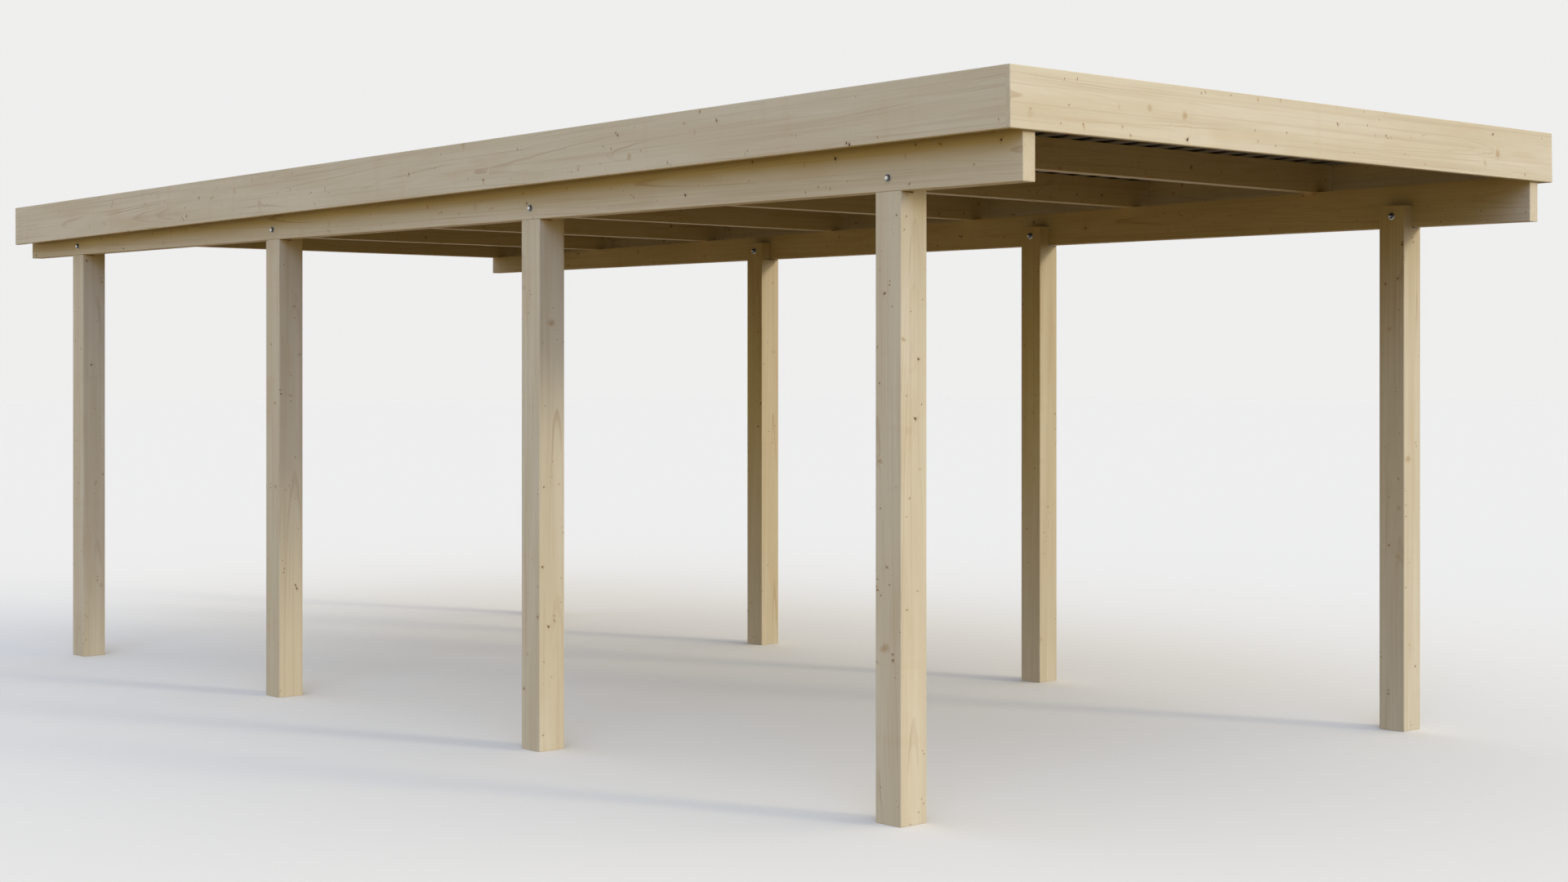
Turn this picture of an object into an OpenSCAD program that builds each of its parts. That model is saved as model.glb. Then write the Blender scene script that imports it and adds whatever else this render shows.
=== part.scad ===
// Carport for one car, of planed spruce. Two rows of square posts are notched on the
// outside to take a long beam each. Rafters lie across the beams, fascia boards close the
// front and the sides, and ribbed roof sheets lie on the rafters and drain to the rear.
// Millimetres. X runs across, Y from the entrance to the rear and Z up.
// The origin is on the ground under the middle of the roof.

/* [Posts] */
// Side of a square post
post_side = 120; // [90:1:160]
// Width over the outer faces of the two rows
row_width = 2995; // [2400:5:3600]
// Distance from one post to the next in a row
post_pitch = 2015; // [1500:5:2600]
// Height of the shoulder that carries the beam
shoulder_h = 2072; // [1900:1:2500]
// Height of the tongue left behind the beam
tongue_h = 88; // [60:1:90]
// Chamfer on the long edges of a post
post_chamfer = 4; // [1:0.5:8]

/* [Beams] */
// Thickness of a beam
beam_t = 57; // [40:1:75]
// Height of a beam at its front end
beam_front_h = 181; // [180:1:240]
// Beam in front of the first post
front_overhang = 540; // [300:5:800]
// Beam behind the last post
rear_overhang = 495; // [300:5:800]
// Chamfer on the lower edges of beams and rafters
beam_chamfer = 3; // [1:0.5:6]

/* [Rafters] */
// Thickness of a rafter
rafter_t = 60; // [40:1:80]
// Height of a rafter
rafter_h = 122; // [90:1:140]

/* [Fascia] */
// Fall of the roof to the rear in degrees
roof_fall = 0.69; // [0.5:0.01:0.72]
// Thickness of a fascia board
fascia_t = 19; // [16:1:28]
// Height of a fascia board
fascia_h = 197; // [180:1:240]
// Part of the fascia below the rafters
fascia_drop = 23; // [10:1:30]
// Roof beyond the outer faces of the posts on each side
side_overhang = 77.5; // [60:0.5:150]
// Side fascia and sheets beyond the last rafter
rear_lip = 35; // [20:1:60]
// Chamfer on the edges of the fascia boards
fascia_chamfer = 3; // [1:0.5:6]

/* [Roof sheets] */
// Thickness of the sheet metal
sheet_t = 0.6; // [0.5:0.1:1]
// Distance from rib to rib
rib_pitch = 137.5; // [120:0.5:160]
// Height of a rib
rib_h = 20; // [15:1:25]
// Width of a rib at its foot
rib_foot = 74; // [50:1:80]
// Width of the flat top of a rib
rib_top = 36; // [20:1:45]
// Middle of the first rib from the left edge of the sheets
rib_first = 82; // [60:1:120]

/* [Hidden] */
// Clearances
beam_gap = 1;
sheet_gap = 4;
lap_gap = 0.3;
lap_lip = 2;
// Counts that the node list follows
posts_per_row = 4;
rafter_count = 8;
// Rib pitches that one sheet covers
rib_cover = 8;
// Lengths
beam_l = front_overhang + (posts_per_row - 1) * post_pitch + post_side + rear_overhang;
roof_l = (fascia_t + beam_gap + beam_l + rear_lip) / cos(roof_fall);
roof_w = row_width + 2 * side_overhang;
inner_w = roof_w - 2 * fascia_t;
// Places along Y
roof_y = -(roof_l * cos(roof_fall) + fascia_h * sin(roof_fall)) / 2;
beam_y = roof_y + fascia_t + beam_gap;
post_y = beam_y + front_overhang;
// Lower front edge of the roof, set so that the rafters lie on the beams
drop_y = fascia_drop * sin(roof_fall);
drop_z = fascia_drop * cos(roof_fall);
roof_z = shoulder_h + beam_front_h - drop_z
    + tan(roof_fall) * (fascia_t + beam_gap - drop_y);
// Rafters along the slope, the first against the front fascia, the last at the beams' ends
rafter_end = (fascia_t + beam_gap + beam_l - drop_y) / cos(roof_fall);
rafter_pitch = (rafter_end - fascia_t - rafter_t) / (rafter_count - 1);
// Roof sheets
sheet_w = inner_w - 2 * sheet_gap;
sheet_l = roof_l - fascia_t - sheet_gap;
sheet_level = fascia_drop + rafter_h;
rib_count = floor((sheet_w - rib_first - rib_foot / 2) / rib_pitch) + 1;
rib_flank = sqrt(pow((rib_foot - rib_top) / 2, 2) + pow(rib_h, 2));
lap_off = sheet_t + lap_gap;
// Colours
spruce_light = [0.83, 0.77, 0.65];
spruce_shade = [0.78, 0.71, 0.58];
spruce_inside = [0.71, 0.61, 0.46];
sheet_grey = [0.60, 0.63, 0.66];

// Height of the rafters' underside over a place y
function roof_under(y) = roof_z + drop_z - tan(roof_fall) * (y - roof_y - drop_y);

// Middle of rib i across the roof
function rib_x(i) = -sheet_w / 2 + rib_first + (i - 1) * rib_pitch;

// Underside of a rib, grown outwards by g where it laps over another
function rib_half_foot(g) = rib_foot / 2 + g * rib_flank / rib_h;
function rib_half_top(g) = rib_top / 2 + g * (rib_flank - (rib_foot - rib_top) / 2) / rib_h;
function flank_x(g, z) = rib_half_foot(g) - (rib_half_foot(g) - rib_half_top(g)) * z / (rib_h + g);
function rib_line(x, g, z_left, z_right) = [
    [x - flank_x(g, z_left), z_left],
    [x - rib_half_top(g), rib_h + g],
    [x + rib_half_top(g), rib_h + g],
    [x + flank_x(g, z_right), z_right]
];

// Line moved by t to its left, with mitred corners
function unit(v) = v / norm(v);
function left_of(p, q) = [-unit(q - p)[1], unit(q - p)[0]];
function moved(line, i, t) =
    let (a = i > 0 ? left_of(line[i - 1], line[i]) : left_of(line[0], line[1]))
    let (b = i < len(line) - 1 ? left_of(line[i], line[i + 1]) : a)
    line[i] + t * (a + b) / (1 + a * b);
function thickened(line, t) = concat(
    line,
    [for (i = [len(line) - 1:-1:0]) moved(line, i, t)]
);

// Frame of the roof, tilted about the lower front edge of the front fascia
module tilted() {
    translate([0, roof_y, roof_z])
        rotate([-roof_fall, 0, 0])
            children();
}

// Post of the left row, with the notch on its outer side
module post(i) {
    c = post_chamfer;
    s = post_side;
    color(spruce_light)
        translate([-row_width / 2, post_y + (i - 1) * post_pitch, 0])
            difference() {
                linear_extrude(shoulder_h + tongue_h)
                    polygon([
                        [c, 0], [s - c, 0], [s, c], [s, s - c],
                        [s - c, s], [c, s], [0, s - c], [0, c]
                    ]);
                translate([-1, -1, shoulder_h])
                    cube([beam_t + 1, s + 2, tongue_h + 1]);
            }
}

// Beam of the left row, level below and cut to the roof's fall above
module beam() {
    c = beam_chamfer;
    rear_y = beam_y + beam_l;
    color(spruce_shade)
        translate([-row_width / 2, 0, 0])
            intersection() {
                rotate([90, 0, 90])
                    linear_extrude(beam_t)
                        polygon([
                            [beam_y, shoulder_h],
                            [rear_y, shoulder_h],
                            [rear_y, roof_under(rear_y)],
                            [beam_y, roof_under(beam_y)]
                        ]);
                translate([0, rear_y + 1, shoulder_h])
                    rotate([90, 0, 0])
                        linear_extrude(beam_l + 2)
                            polygon([
                                [c, 0], [beam_t - c, 0], [beam_t, c],
                                [beam_t, beam_front_h + 1], [0, beam_front_h + 1], [0, c]
                            ]);
            }
}

// Rafter i between the side fascias
module rafter(i) {
    c = beam_chamfer;
    t = rafter_t;
    color(spruce_inside)
        tilted()
            translate([-inner_w / 2, fascia_t + (i - 1) * rafter_pitch, fascia_drop])
                rotate([90, 0, 90])
                    linear_extrude(inner_w)
                        polygon([[c, 0], [t - c, 0], [t, c], [t, rafter_h], [0, rafter_h], [0, c]]);
}

// Board of length l with its face towards -Y, and chamfers a and b on the face's two ends
module board(l, a, b) {
    c = fascia_chamfer;
    t = fascia_t;
    h = fascia_h;
    intersection() {
        rotate([90, 0, 90])
            linear_extrude(l)
                polygon([[c, 0], [t, 0], [t, h], [c, h], [0, h - c], [0, c]]);
        linear_extrude(h)
            polygon(concat(
                a > 0 ? [[0, a], [a, 0]] : [[0, 0]],
                b > 0 ? [[l - b, 0], [l, b]] : [[l, 0]],
                [[l, t], [0, t]]
            ));
    }
}

module fascia_front() {
    color(spruce_light)
        tilted()
            translate([-roof_w / 2, 0, 0])
                board(roof_w, fascia_chamfer, fascia_chamfer);
}

// Side board, from the rear end to the back of the front board
module fascia_left() {
    color(spruce_shade)
        tilted()
            translate([-roof_w / 2, roof_l, 0])
                rotate([0, 0, -90])
                    board(roof_l - fascia_t, fascia_chamfer, 0);
}

// Sheet along a line of its underside
module sheet(line) {
    color(sheet_grey)
        tilted()
            translate([0, fascia_t + sheet_gap + sheet_l, sheet_level])
                rotate([90, 0, 0])
                    linear_extrude(sheet_l)
                        polygon(thickened(line, sheet_t));
}

// Ribs from first to last as one line
function ribs(first, last) = [for (i = [first:last]) each rib_line(rib_x(i), 0, 0, 0)];

// Sheets from left to right, each lapping over the last rib of the one before
module roof_sheet_1() {
    last = rib_cover + 1;
    sheet(concat(
        [[-sheet_w / 2, 0]],
        ribs(1, last - 1),
        rib_line(rib_x(last), 0, 0, lap_lip)
    ));
}

module roof_sheet_2() {
    first = rib_cover + 1;
    last = 2 * rib_cover + 1;
    sheet(concat(
        rib_line(rib_x(first), lap_off, lap_lip, 0),
        ribs(first + 1, last - 1),
        rib_line(rib_x(last), 0, 0, lap_lip)
    ));
}

module roof_sheet_3() {
    first = 2 * rib_cover + 1;
    sheet(concat(
        rib_line(rib_x(first), lap_off, lap_lip, 0),
        ribs(first + 1, rib_count),
        [[sheet_w / 2, 0]]
    ));
}

post(1);  // post_left_1
post(2);  // post_left_2
post(3);  // post_left_3
post(4);  // post_left_4
mirror([1, 0, 0]) post(1);  // post_right_1
mirror([1, 0, 0]) post(2);  // post_right_2
mirror([1, 0, 0]) post(3);  // post_right_3
mirror([1, 0, 0]) post(4);  // post_right_4
beam();  // beam_left
mirror([1, 0, 0]) beam();  // beam_right
rafter(1);  // rafter_1
rafter(2);  // rafter_2
rafter(3);  // rafter_3
rafter(4);  // rafter_4
rafter(5);  // rafter_5
rafter(6);  // rafter_6
rafter(7);  // rafter_7
rafter(8);  // rafter_8
fascia_front();
fascia_left();
mirror([1, 0, 0]) fascia_left();  // fascia_right
roof_sheet_1();
roof_sheet_2();
roof_sheet_3();
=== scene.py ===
import math

import bmesh
import bpy
import numpy as np
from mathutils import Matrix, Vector


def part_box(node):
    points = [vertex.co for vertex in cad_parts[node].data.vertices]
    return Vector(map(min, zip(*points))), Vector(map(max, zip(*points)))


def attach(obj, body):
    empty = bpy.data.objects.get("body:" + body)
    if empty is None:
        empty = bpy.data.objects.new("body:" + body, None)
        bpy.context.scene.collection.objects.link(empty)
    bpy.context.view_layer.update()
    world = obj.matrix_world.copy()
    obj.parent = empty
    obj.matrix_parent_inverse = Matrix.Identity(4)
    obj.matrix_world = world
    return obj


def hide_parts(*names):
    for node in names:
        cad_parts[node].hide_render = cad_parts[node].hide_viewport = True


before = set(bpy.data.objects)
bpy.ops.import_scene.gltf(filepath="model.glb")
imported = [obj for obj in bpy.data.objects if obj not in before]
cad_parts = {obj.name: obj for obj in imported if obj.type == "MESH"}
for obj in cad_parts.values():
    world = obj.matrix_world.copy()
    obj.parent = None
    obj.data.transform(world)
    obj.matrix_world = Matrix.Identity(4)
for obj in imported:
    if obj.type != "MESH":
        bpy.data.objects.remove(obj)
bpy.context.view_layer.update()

scene = bpy.context.scene
fall = math.radians(0.69)                                    # drop of the roof to the rear
toRight = np.array([1.0, 0.0, 0.0])
toRear = np.array([0.0, 1.0, 0.0])
straightUp = np.array([0.0, 0.0, 1.0])
downRoof = np.array([0.0, math.cos(fall), -math.sin(fall)])  # along the roof, front to rear
offRoof = np.array([0.0, math.sin(fall), math.cos(fall)])    # square to the roof
postRows = (("left", -1.0), ("right", 1.0))                  # each row and the way to its outer side
postCount, rafterCount, sheetCount = 4, 8, 3
print("frame loaded:", len(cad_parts), "solids")


# Middle of a solid's box: (low + high) / 2
def boxMiddle(node):
    low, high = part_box(node)
    return (np.array(low) + np.array(high)) / 2


# Adds one node, then links each input that is a socket and sets each that is a value
def put(tree, kind, inputs=None, **settings):
    node = tree.nodes.new(kind)
    for key, value in settings.items():
        setattr(node, key, value)
    for key, value in (inputs or {}).items():
        if isinstance(value, bpy.types.NodeSocket):
            tree.links.new(value, node.inputs[key])
        else:
            node.inputs[key].default_value = value
    return node


# One step on plain numbers, such as a sum or a product
def calc(tree, operation, *values):
    return put(tree, "ShaderNodeMath", dict(enumerate(values)), operation=operation).outputs[0]


# The same on vectors, where a length and a dot product come out as plain numbers
def vecCalc(tree, operation, *values):
    node = put(tree, "ShaderNodeVectorMath", dict(enumerate(values)), operation=operation)
    return node.outputs["Value" if operation in ("LENGTH", "DOT_PRODUCT") else "Vector"]


# Smooth step: outLow below low, outHigh above high, and 3 t^2 - 2 t^3 of the way between them
def between(tree, value, low, high, outLow=0.0, outHigh=1.0):
    inputs = {"Value": value, "From Min": low, "From Max": high, "To Min": outLow, "To Max": outHigh}
    return put(tree, "ShaderNodeMapRange", inputs, interpolation_type="SMOOTHSTEP").outputs[0]


# Noise about a place, as one number and as three
def cloud(tree, vector, scale, detail=2.0, roughness=0.5):
    inputs = {"Vector": vector, "Scale": scale, "Detail": detail, "Roughness": roughness}
    node = put(tree, "ShaderNodeTexNoise", inputs)
    return node.outputs[0], node.outputs[1]


# Mix of two colours: first * (1 - share) + second * share
def blendColor(tree, share, first, second):
    node = put(tree, "ShaderNodeMix", data_type="RGBA")
    for socket, value in ((node.inputs[0], share), (node.inputs[6], first), (node.inputs[7], second)):
        if isinstance(value, bpy.types.NodeSocket):
            tree.links.new(value, socket)
        else:
            socket.default_value = value if isinstance(value, float) else (*value, 1.0)
    return node.outputs[2]


# What the mesh carries under a name: a vector, or one number as "Fac"
def carried(tree, name, output="Vector"):
    return put(tree, "ShaderNodeAttribute", attribute_name=name).outputs[output]


# The three numbers of a vector
def apart(tree, vector):
    return put(tree, "ShaderNodeSeparateXYZ", {0: vector}).outputs


# Place of a point in its piece, in metres
def placeInPiece(tree):
    return put(tree, "ShaderNodeTexCoord").outputs["Object"]


# A new material, its node tree and its shader
def startMaterial(name):
    material = bpy.data.materials.new(name)
    material.use_nodes = True
    return material, material.node_tree, material.node_tree.nodes["Principled BSDF"]


# Gives a shader its colour and roughness, and a fine relief of strength, depth and height
def dress(tree, shader, color, roughness, relief=None):
    tree.links.new(color, shader.inputs["Base Color"])
    tree.links.new(roughness, shader.inputs["Roughness"])
    if relief:
        bump = put(tree, "ShaderNodeBump", dict(zip(("Strength", "Distance", "Height"), relief)))
        tree.links.new(bump.outputs[0], shader.inputs["Normal"])


# Scales are per metre along and across the grain. Ranges are low, high and what comes out there.
spruceLook = {
    "cream": (0.612, 0.540, 0.402),
    "pale": (0.662, 0.600, 0.472),
    "warm": (0.575, 0.470, 0.312),
    "lateWood": (0.370, 0.235, 0.120),
    "tan": (0.430, 0.280, 0.140),
    "knotTan": (0.330, 0.190, 0.090),
    "knotBrown": (0.160, 0.082, 0.040),
    "knotDark": (0.022, 0.012, 0.007),
    "endGrain": (0.540, 0.450, 0.305),
    "ringWidth": 0.0052, "taper": 0.022,
    "slow": (0.8, 2.5, 2.5), "slowBend": (0.0, 0.028, 0.028),
    "quick": (10.0, 5.0, 5.0), "quickBend": (0.0, 0.0035, 0.0035),
    "lateRise": (0.42, 0.84), "lateFall": (0.86, 1.0, 1.0, 0.0), "yearPower": 2.2,
    "shown": (1.6, 8.0, 8.0), "shownRange": (0.45, 0.65, 0.06, 1.0),
    "lineShare": 0.66, "endLineShare": 0.45, "endShare": 0.2,
    "broad": (0.9, 11.0, 11.0), "paleRange": (0.36, 0.66), "toneShare": 0.08,
    "patch": (2.3, 14.0, 14.0), "patchRange": (0.56, 0.78, 0.0, 0.5),
    "chatter": (17.0, 3.0, 3.0), "chatterRange": (0.55, 0.80, 0.0, 0.25),
    "streak": (5.0, 260.0, 260.0), "streakRange": (0.35, 0.75, 0.0, 0.13),
    "stripe": (0.9, 95.0, 95.0), "stripeRange": (0.50, 0.72, 0.0, 0.16),
    "knotEdge": (190.0, 190.0, 190.0), "knotRagged": 1.3, "egg": (0.35, 1.1),
    "knotReach": 3.2, "knotPush": 1.1, "haloRange": (0.8, 3.0, 1.0, 0.0), "haloShare": 0.34,
    "coreRange": (0.72, 1.12, 1.0, 0.0), "coreShare": 0.92,
    "brownRange": (0.0, 0.55), "darkRange": (0.72, 1.0), "rimRange": (0.25, 0.85, 0.0, 0.22),
    "blotchEdge": (60.0, 90.0, 90.0), "blotchRagged": 1.2,
    "blotchReach": 1.6, "blotchPush": 0.004, "stainRange": (0.05, 1.35, 1.0, 0.0), "stainShare": 0.8,
    "roughRange": (0.2, 0.8, 0.56, 0.72), "reliefShare": 0.5, "coreSunk": 0.7, "relief": (0.12, 0.0006),
    "gloss": 0.3,
}


# Planed spruce. Rings are cones about the pith, bent by slow and quick noise and pushed aside
# at knots. The "knot" and "blotch" attributes give the place in a mark's own measure, which is
# 1 at its rim: a knot is that egg with a rough rim, a blotch the same with a soft one. The
# "shade" attribute says if a face is cut across the grain, how dark its knot is and its tone.
def planedSpruce():
    look = spruceLook
    material, tree, shader = startMaterial("planed_spruce")
    grain = carried(tree, "grain")
    knot, blotch = apart(tree, carried(tree, "knot")), apart(tree, carried(tree, "blotch"))
    cut, knotDepth, tone = apart(tree, carried(tree, "shade"))

    def times(first, second):
        return calc(tree, "MULTIPLY", first, second)

    # square root of the sum of squares
    def distance(first, second):
        return calc(tree, "SQRT", calc(tree, "ADD", times(first, first), times(second, second)))

    # exp(-(value / reach)^2)
    def hump(value, reach):
        share = times(value, 1.0 / reach)
        return calc(tree, "EXPONENT", times(times(share, share), -1.0))

    def grainCloud(scale, detail, roughness=0.5):
        return cloud(tree, vecCalc(tree, "MULTIPLY", grain, look[scale]), 1.0, detail, roughness)

    # way + share * (noise - 1/2)
    def roughen(way, scale, detail, share):
        noise = calc(tree, "SUBTRACT", grainCloud(scale, detail)[0], 0.5)
        return calc(tree, "MULTIPLY_ADD", noise, look[share], way)

    # place + bend * (noise - 1/2)
    def bend(place, scale, detail, reach):
        noise = vecCalc(tree, "SUBTRACT", grainCloud(scale, detail)[1], (0.5, 0.5, 0.5))
        return vecCalc(tree, "ADD", place, vecCalc(tree, "MULTIPLY", noise, look[reach]))

    egg = times(knot[1], calc(tree, "MULTIPLY_ADD", knot[0], *look["egg"]))
    knotWay = roughen(distance(knot[0], egg), "knotEdge", 1.0, "knotRagged")
    blotchWay = roughen(distance(blotch[0], blotch[1]), "blotchEdge", 2.0, "blotchRagged")

    bent = bend(bend(grain, "slow", 1.0, "slowBend"), "quick", 3.0, "quickBend")
    fromPith = vecCalc(tree, "LENGTH", vecCalc(tree, "MULTIPLY", bent, (0.0, 1.0, 1.0)))
    fromPith = calc(tree, "MULTIPLY_ADD", apart(tree, grain)[0], look["taper"], fromPith)
    knotHump = times(hump(knotWay, look["knotReach"]), knot[2])
    fromPith = calc(tree, "MULTIPLY_ADD", knotHump, look["knotPush"], fromPith)
    blotchHump = times(hump(blotchWay, look["blotchReach"]), blotch[2])
    fromPith = calc(tree, "MULTIPLY_ADD", blotchHump, look["blotchPush"], fromPith)

    # the dark late wood of each year, of a strength of its own and shown in places only
    year = times(fromPith, 1.0 / look["ringWidth"])
    inYear = calc(tree, "FRACT", year)
    late = times(between(tree, inYear, *look["lateRise"]), between(tree, inYear, *look["lateFall"]))
    yearNo = calc(tree, "FLOOR", year)
    draw = put(tree, "ShaderNodeTexWhiteNoise", {"W": yearNo}, noise_dimensions="1D").outputs[0]
    yearPower = calc(tree, "POWER", draw, look["yearPower"])
    shown = between(tree, grainCloud("shown", 2.0)[0], *look["shownRange"])
    shown = times(shown, between(tree, cut, 0.0, 1.0, look["lineShare"], look["endLineShare"]))
    line = times(late, times(yearPower, shown))

    paleness = calc(tree, "ADD", grainCloud("broad", 3.0, 0.6)[0], times(tone, look["toneShare"]))
    base = blendColor(tree, between(tree, paleness, *look["paleRange"]), look["cream"], look["pale"])
    streak = grainCloud("streak", 2.0)[0]
    layers = ((grainCloud("patch", 2.0)[0], "patchRange", "warm"),
              (grainCloud("chatter", 2.0)[0], "chatterRange", "warm"),
              (streak, "streakRange", "warm"),
              (grainCloud("stripe", 1.0)[0], "stripeRange", "lateWood"))
    for noise, limits, color in layers:
        base = blendColor(tree, between(tree, noise, *look[limits]), base, look[color])
    base = blendColor(tree, line, base, look["lateWood"])
    base = blendColor(tree, times(cut, look["endShare"]), base, look["endGrain"])

    # stains, then the halo and the core of the knots, which are darkest at the rim
    stain = times(between(tree, blotchWay, *look["stainRange"]), times(blotch[2], look["stainShare"]))
    base = blendColor(tree, stain, base, look["tan"])
    halo = times(between(tree, knotWay, *look["haloRange"]), look["haloShare"])
    base = blendColor(tree, halo, base, look["tan"])
    core = between(tree, knotWay, *look["coreRange"])
    heart = blendColor(tree, between(tree, knotDepth, *look["brownRange"]), look["knotTan"], look["knotBrown"])
    heart = blendColor(tree, between(tree, knotDepth, *look["darkRange"]), heart, look["knotDark"])
    heart = blendColor(tree, between(tree, knotWay, *look["rimRange"]), heart, look["knotDark"])
    base = blendColor(tree, times(core, look["coreShare"]), base, heart)

    height = calc(tree, "ADD", times(streak, look["reliefShare"]), times(late, look["reliefShare"]))
    height = calc(tree, "SUBTRACT", height, times(core, look["coreSunk"]))
    dress(tree, shader, base, between(tree, streak, *look["roughRange"]), (*look["relief"], height))
    shader.inputs["Specular IOR Level"].default_value = look["gloss"]
    return material


sheetLook = {
    "coat": (0.240, 0.240, 0.245),
    "dusty": (0.300, 0.297, 0.290),
    "worn": (0.205, 0.210, 0.220),
    "back": (0.168, 0.162, 0.141),
    # colour of the painted shade inside the ribs of the underside
    "paintedRibShade": (0.020, 0.020, 0.021),
    "runs": (28.0, 0.7, 28.0), "runsRange": (0.45, 0.75, 0.0, 0.7),
    "mottle": 9.0, "wornRange": (0.5, 0.8, 0.0, 0.2), "roughRange": (0.3, 0.7, 0.52, 0.68),
    "backRange": (-0.6, -0.4), "paintedRibShadeRange": (0.05, 0.90, 0.0, 0.92),
    # reach and strength of the painted shade, which grows over a rafter
    "shadeReach": (0.040, 0.090), "shadePower": 7.0,
    "peel": 900.0, "relief": (0.08, 0.0002), "gloss": 0.12,
}


# Coated roof metal: a fine orange peel, dust that runs down the slope and a faint mottle. The
# "skin" attribute is -1 on the top side, and below it rises from 0 to 1 inside a rib: the
# underside has a backing coat, and inside the ribs it carries painted shade, darkest where they
# cross a rafter: distance = pitch * |fract((y - first) / pitch + 1/2) - 1/2|.
def coatedMetal():
    look = sheetLook
    material, tree, shader = startMaterial("coated_roof_metal")
    place = placeInPiece(tree)
    runs = cloud(tree, vecCalc(tree, "MULTIPLY", place, look["runs"]), 1.0, 3.0, 0.6)[0]
    mottle = cloud(tree, place, look["mottle"], 3.0)[0]
    base = blendColor(tree, between(tree, runs, *look["runsRange"]), look["coat"], look["dusty"])
    base = blendColor(tree, between(tree, mottle, *look["wornRange"]), base, look["worn"])

    first, last = boxMiddle("rafter_1")[1], boxMiddle(f"rafter_{rafterCount}")[1]
    pitch = (last - first) / (rafterCount - 1)
    pitchNo = calc(tree, "MULTIPLY_ADD", apart(tree, place)[1], 1.0 / pitch, 0.5 - first / pitch)
    offMiddle = calc(tree, "SUBTRACT", calc(tree, "FRACT", pitchNo), 0.5)
    fromRafter = calc(tree, "MULTIPLY", calc(tree, "ABSOLUTE", offMiddle), pitch)
    # painted shade in the ribs, strongest over a rafter and fading off it
    shade = between(tree, fromRafter, *look["shadeReach"], look["shadePower"], 1.0)
    skin = calc(tree, "MULTIPLY", carried(tree, "skin", "Fac"), shade)
    # the underside's backing coat, then the painted shade inside the ribs
    base = blendColor(tree, between(tree, skin, *look["backRange"]), base, look["back"])
    base = blendColor(tree, between(tree, skin, *look["paintedRibShadeRange"]), base, look["paintedRibShade"])

    peel = cloud(tree, place, look["peel"], 1.0)[0]
    dress(tree, shader, base, between(tree, mottle, *look["roughRange"]), (*look["relief"], peel))
    shader.inputs["Specular IOR Level"].default_value = look["gloss"]
    return material


fixingLook = {
    "zinc": (0.90, 0.89, 0.85), "shadeAndSpangle": (0.075, 0.070, 0.060),
    "cells": 420.0, "spangleShare": 0.15,
    "zincCloud": 160.0, "cloudRange": (0.25, 0.55, 0.75, 1.0), "zincRough": (0.3, 0.8, 0.2, 0.38),
    "rubber": (0.030, 0.030, 0.032), "bloom": (0.060, 0.060, 0.060),
    "speck": 700.0, "bloomRange": (0.4, 0.8), "rubberRough": (0.3, 0.8, 0.65, 0.85),
}


# Zinc plated steel with a painted highlight on the crowns and painted shade in the corners,
# as a point attribute gives them, with spangle from a cell pattern
def zincSteel():
    look = fixingLook
    material, tree, shader = startMaterial("zinc_steel")
    place = placeInPiece(tree)
    cells = put(tree, "ShaderNodeTexVoronoi", {"Vector": place, "Scale": look["cells"]}).outputs["Color"]
    cloudy = cloud(tree, place, look["zincCloud"], 3.0)[0]
    # painted highlight where the attribute is high, painted shade where it is low
    bright = calc(tree, "MULTIPLY", carried(tree, "paintedLight", "Fac"), between(tree, cloudy, *look["cloudRange"]))
    base = blendColor(tree, bright, look["shadeAndSpangle"], look["zinc"])
    spangle = calc(tree, "MULTIPLY", apart(tree, cells)[0], look["spangleShare"])
    base = blendColor(tree, spangle, base, look["shadeAndSpangle"])
    dress(tree, shader, base, between(tree, cloudy, *look["zincRough"]))
    shader.inputs["Metallic"].default_value = 1.0
    return material


# Black rubber with a pale bloom in specks
def sealRubber():
    look = fixingLook
    material, tree, shader = startMaterial("seal_rubber")
    speck = cloud(tree, placeInPiece(tree), look["speck"], 3.0)[0]
    base = blendColor(tree, between(tree, speck, *look["bloomRange"]), look["rubber"], look["bloom"])
    dress(tree, shader, base, between(tree, speck, *look["rubberRough"]))
    return material


spruce, roofMetal, zinc, rubber = planedSpruce(), coatedMetal(), zincSteel(), sealRubber()
print("materials made")


# Quads of a tube: points p and p + 1 of ring r with the same two of ring r + 1. Also gives each
# quad's ring and point.
def ringQuads(rings, points):
    ring, point = np.meshgrid(np.arange(rings - 1), np.arange(points), indexing="ij")
    following = (point + 1) % points
    quads = np.stack([ring * points + point, ring * points + following,
                      (ring + 1) * points + following, (ring + 1) * points + point], -1)
    return quads.reshape(-1, 4), ring.ravel(), point.ravel()


# Writes one number, or one vector, for each point, corner or face of a mesh
def write(mesh, attribute, domain, values):
    kind, field = ("FLOAT_VECTOR", "vector") if values.ndim > 1 else ("FLOAT", "value")
    data = mesh.attributes.new(attribute, kind, domain).data
    data.foreach_set(field, values.astype(np.float32).ravel())


# Makes the object, which rides on the one body and takes the place of its solid
def finishPiece(name, mesh, material, node=None):
    mesh.materials.append(material)
    piece = bpy.data.objects.new(name, mesh)
    scene.collection.objects.link(piece)
    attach(piece, "root")
    if node:
        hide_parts(node)
    return piece


knotLook = {
    "perArea": 62, "small": 0.0012, "large": 0.0048, "twins": 0.35, "apart": 0.008,
    "turn": (0.3, 2.6), "stretch": (1.1, 3.0),
}
blotchLook = {
    "perArea": 20, "small": 0.006, "large": 0.018, "twins": 0.2, "apart": 0.04,
    "turn": (1.2, 1.9), "stretch": (1.0, 2.2),
}
markLook = {
    "least": 2, "mostlySmall": 4, "twinSize": 0.8,
    "twinAlong": (0.010, 0.022), "twinAcross": 0.01,         # how far off a twin lies
    "placedGap": 0.05,                                       # bare wood at the ends of a placed row
}


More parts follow.
